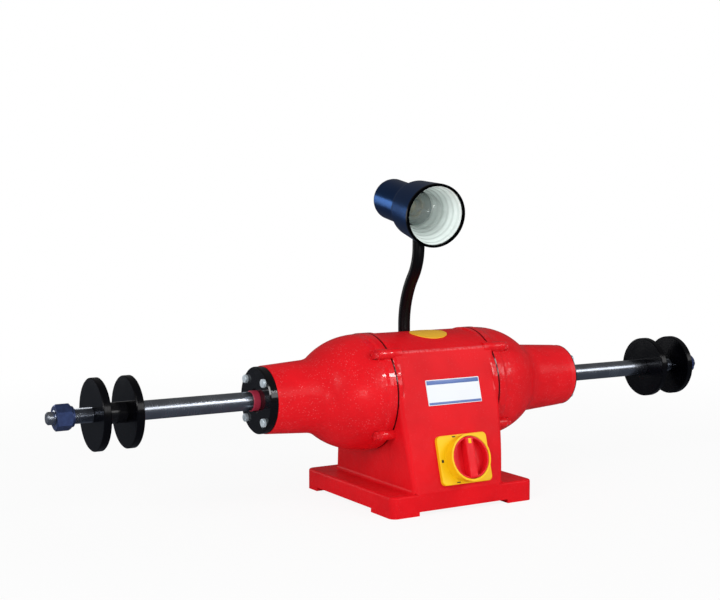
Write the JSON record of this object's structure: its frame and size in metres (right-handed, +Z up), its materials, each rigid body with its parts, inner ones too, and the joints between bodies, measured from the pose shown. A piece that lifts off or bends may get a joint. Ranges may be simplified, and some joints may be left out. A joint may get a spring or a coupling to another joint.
{
  "type": "polishing machine",
  "caption": "Bench polishing machine: red cast pedestal motor with a long double-ended spindle, clamp flanges and nuts for buffing wheels, rotary switch and gooseneck work lamp.",
  "frame": {"origin": "on the bench, at the centre of the four bolt holes in the feet", "axes": "+X along the spindle to the operator's right, -Y towards the operator, +Z up"},
  "size_m": [1, 0.2327, 0.4173],
  "materials": {
    "red_paint": "glossy paint over a rough casting",
    "black_paint": "glossy black paint",
    "zinc_steel": "zinc plated",
    "bearing_steel": "ground and polished",
    "pressed_brass": "pressed",
    "sheet_iron": "stacked sheet edges",
    "copper": "enamelled wire",
    "cast_aluminium": "plain",
    "black_plastic": "moulded",
    "yellow_plastic": "moulded, satin",
    "red_plastic": "moulded, glossy",
    "plate_aluminium": "printed sheet, blank",
    "yellow_badge": "printed sheet, blank",
    "neck_rubber": "smooth sleeve",
    "lamp_enamel": "glossy blue-black enamel",
    "white_enamel": "glossy white enamel",
    "brown_plastic": "moulded",
    "clear_glass": "clear",
    "cap_brass": "pressed",
    "ground_steel": "ground bright",
    "red_rubber": "moulded",
    "black_steel": "blackened, satin",
    "blued_steel": "blued"
  },
  "bodies": {
    "machine": {"frame_casting": "red_paint", "bottom_cover": "red_paint", "bottom_cover_screws": "zinc_steel", "left_end_shield": "red_paint", "right_end_shield": "red_paint", "left_shield_bolts": "red_paint", "right_shield_bolts": "red_paint", "left_bearing_cap": "black_paint", "right_bearing_cap": "black_paint", "left_cap_screws": "zinc_steel", "right_cap_screws": "zinc_steel", "left_bearing_outer_ring": "bearing_steel", "right_bearing_outer_ring": "bearing_steel", "preload_spring": "bearing_steel", "stator_core": "sheet_iron", "stator_winding": "copper", "terminal_block": "black_plastic", "run_capacitor": "cast_aluminium", "capacitor_clamp": "zinc_steel", "switch_plate": "yellow_plastic", "switch_contact_block": "black_plastic", "nameplate": "plate_aluminium", "top_badge": "yellow_badge", "cable_gland": "black_plastic", "neck_stub": "neck_rubber"},
    "spindle": {"spindle_shaft": "ground_steel", "rotor_core": "sheet_iron", "rotor_cage": "cast_aluminium", "left_bearing_inner_ring": "bearing_steel", "right_bearing_inner_ring": "bearing_steel", "left_dust_seal": "red_rubber", "right_dust_seal": "red_rubber", "left_inner_flange": "black_steel", "right_inner_flange": "black_steel", "left_spacer_collar": "black_steel", "right_spacer_collar": "black_steel"},
    "left_ball_set": {"left_bearing_balls": "bearing_steel", "left_bearing_cage": "pressed_brass"},
    "right_ball_set": {"right_bearing_balls": "bearing_steel", "right_bearing_cage": "pressed_brass"},
    "left_wheel_flange": {"left_outer_flange": "black_steel"},
    "right_wheel_flange": {"right_outer_flange": "black_steel"},
    "left_nut_washer": {"left_washer": "blued_steel"},
    "right_nut_washer": {"right_washer": "blued_steel"},
    "left_wheel_nut": {"left_nut": "blued_steel"},
    "right_wheel_nut": {"right_nut": "blued_steel"},
    "switch_handle": {"switch_knob": "red_plastic", "switch_stem": "zinc_steel"},
    "neck_lower_length": {"neck_lower": "neck_rubber"},
    "neck_upper_length": {"neck_upper": "neck_rubber"},
    "lamp_head": {"lamp_stem": "neck_rubber", "lamp_shade": "lamp_enamel", "lamp_rear_housing": "lamp_enamel", "lamp_reflector": "white_enamel", "lamp_holder": "brown_plastic", "bulb_glass": "clear_glass", "bulb_cap": "cap_brass"}
  },
  "joints": [
    {"name": "spindle_spin", "type": "hinge", "parent": "machine", "child": "spindle", "pos_m": [0, 0, 0.143], "axis": [1, 0, 0], "continuous": true},
    {"name": "left_balls_roll", "type": "hinge", "parent": "machine", "child": "left_ball_set", "pos_m": [-0.2175, 0, 0.143], "axis": [1, 0, 0], "continuous": true},
    {"name": "right_balls_roll", "type": "hinge", "parent": "machine", "child": "right_ball_set", "pos_m": [0.2175, 0, 0.143], "axis": [1, 0, 0], "continuous": true},
    {"name": "left_flange_slide", "type": "slide", "parent": "spindle", "child": "left_wheel_flange", "axis": [-1, 0, 0], "range_m": [0, 0.006]},
    {"name": "left_washer_slide", "type": "slide", "parent": "spindle", "child": "left_nut_washer", "axis": [-1, 0, 0], "range_m": [-0.0081, 0.0161]},
    {"name": "left_nut_turn", "type": "hinge", "parent": "left_nut_washer", "child": "left_wheel_nut", "pos_m": [-0.482, 0, 0.143], "axis": [1, 0, 0], "range_deg": [-1440, 2880]},
    {"name": "right_flange_slide", "type": "slide", "parent": "spindle", "child": "right_wheel_flange", "axis": [1, 0, 0], "range_m": [-0.0109, 0]},
    {"name": "right_washer_slide", "type": "slide", "parent": "spindle", "child": "right_nut_washer", "axis": [1, 0, 0], "range_m": [-0.0068, 0.0161]},
    {"name": "right_nut_turn", "type": "hinge", "parent": "right_nut_washer", "child": "right_wheel_nut", "pos_m": [0.482, 0, 0.143], "axis": [1, 0, 0], "range_deg": [-1200, 2880]},
    {"name": "switch_turn", "type": "hinge", "parent": "machine", "child": "switch_handle", "pos_m": [0.0035, -0.09799, 0.06265], "axis": [0, -0.9628, 0.2703], "range_deg": [0, 90]},
    {"name": "neck_foot_bend", "type": "hinge", "parent": "machine", "child": "neck_lower_length", "pos_m": [0, 0.033, 0.22242], "axis": [1, 0, 0], "range_deg": [-25, 25]},
    {"name": "neck_side_bend", "type": "hinge", "parent": "neck_lower_length", "child": "neck_upper_length", "pos_m": [0, 0.01188, 0.28741], "axis": [0, 1, 0], "range_deg": [-25, 25]},
    {"name": "neck_top_bend", "type": "hinge", "parent": "neck_upper_length", "child": "lamp_head", "pos_m": [0, -0.00112, 0.32742], "axis": [1, 0, 0], "range_deg": [-25, 25]}
  ],
  "couplings": [
    {"joint": "left_balls_roll", "follows": "spindle_spin", "ratio": 0.3983},
    {"joint": "right_balls_roll", "follows": "spindle_spin", "ratio": 0.3983},
    {"joint": "left_washer_slide", "follows": "left_nut_turn", "m_per_rad": 0.00031831},
    {"joint": "right_washer_slide", "follows": "right_nut_turn", "m_per_rad": 0.00031831}
  ]
}
